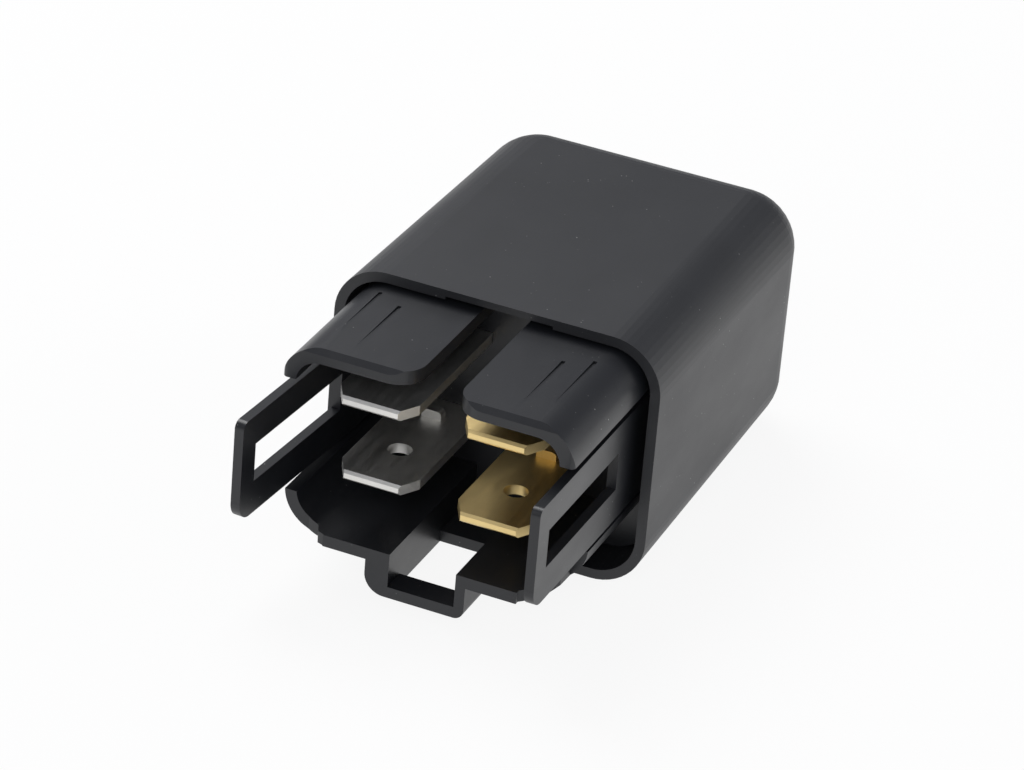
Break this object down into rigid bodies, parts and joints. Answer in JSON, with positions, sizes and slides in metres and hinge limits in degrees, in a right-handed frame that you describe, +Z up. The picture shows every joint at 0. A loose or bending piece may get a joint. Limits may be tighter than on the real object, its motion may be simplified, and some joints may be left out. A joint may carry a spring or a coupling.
{
  "type": "automotive relay",
  "caption": "Rectangular black plug-in power relay with a moulded can, a slotted connector shroud, flat blade terminals and a hinged-armature mechanism inside.",
  "frame": {"origin": "below the middle of the whole length, on the plane of the broad side it lies on", "axes": "+X across the broad side, +Y along the plug axis from the blades' tips to the can's closed end, +Z up from the broad side it rests on"},
  "size_m": [0.0262, 0.0485, 0.0204],
  "materials": {
    "cover_plastic": "black, satin, finely grained, dusty and scratched",
    "base_plastic": "black, semi-gloss, rough where it was cut or torn",
    "tinned_terminal": "tin-plated, fine stamping lines along the blade",
    "brass_terminal": "bare brass, satin, fine stamping lines along the blade",
    "magnet_iron": "zinc-plated iron",
    "bobbin_plastic": "natural glass-filled nylon",
    "copper_wire": "enamelled copper wire",
    "spring_bronze": "rolled spring bronze",
    "contact_silver": "silver alloy",
    "rivet_steel": "plain steel",
    "resistor_lacquer": "lacquered",
    "lead_wire": "tinned copper wire"
  },
  "bodies": {
    "housing": {"cover": "cover_plastic", "base": "base_plastic", "terminal_30": "tinned_terminal", "terminal_87": "tinned_terminal", "terminal_85": "brass_terminal", "terminal_86": "brass_terminal", "yoke": "magnet_iron", "core": "magnet_iron", "bobbin": "bobbin_plastic", "coil_winding": "copper_wire", "coil_lead_start": "copper_wire", "coil_lead_end": "copper_wire", "fixed_contact": "contact_silver", "spring_rivets": "rivet_steel", "yoke_rivet": "rivet_steel", "stop_bracket": "rivet_steel", "resistor_body": "resistor_lacquer", "resistor_leads": "lead_wire"},
    "armature": {"armature": "magnet_iron", "return_spring": "spring_bronze", "moving_contact": "contact_silver", "armature_rivets": "rivet_steel"}
  },
  "joints": [
    {"name": "armature_hinge", "type": "hinge", "parent": "housing", "child": "armature", "pos_m": [0.0106, 0.01765, 0.0102], "axis": [0, 0, 1], "range_deg": [0, 3.5], "stiffness_Nm_per_rad": 0.02, "springref_deg": -5.73, "deforming": ["return_spring"]}
  ]
}
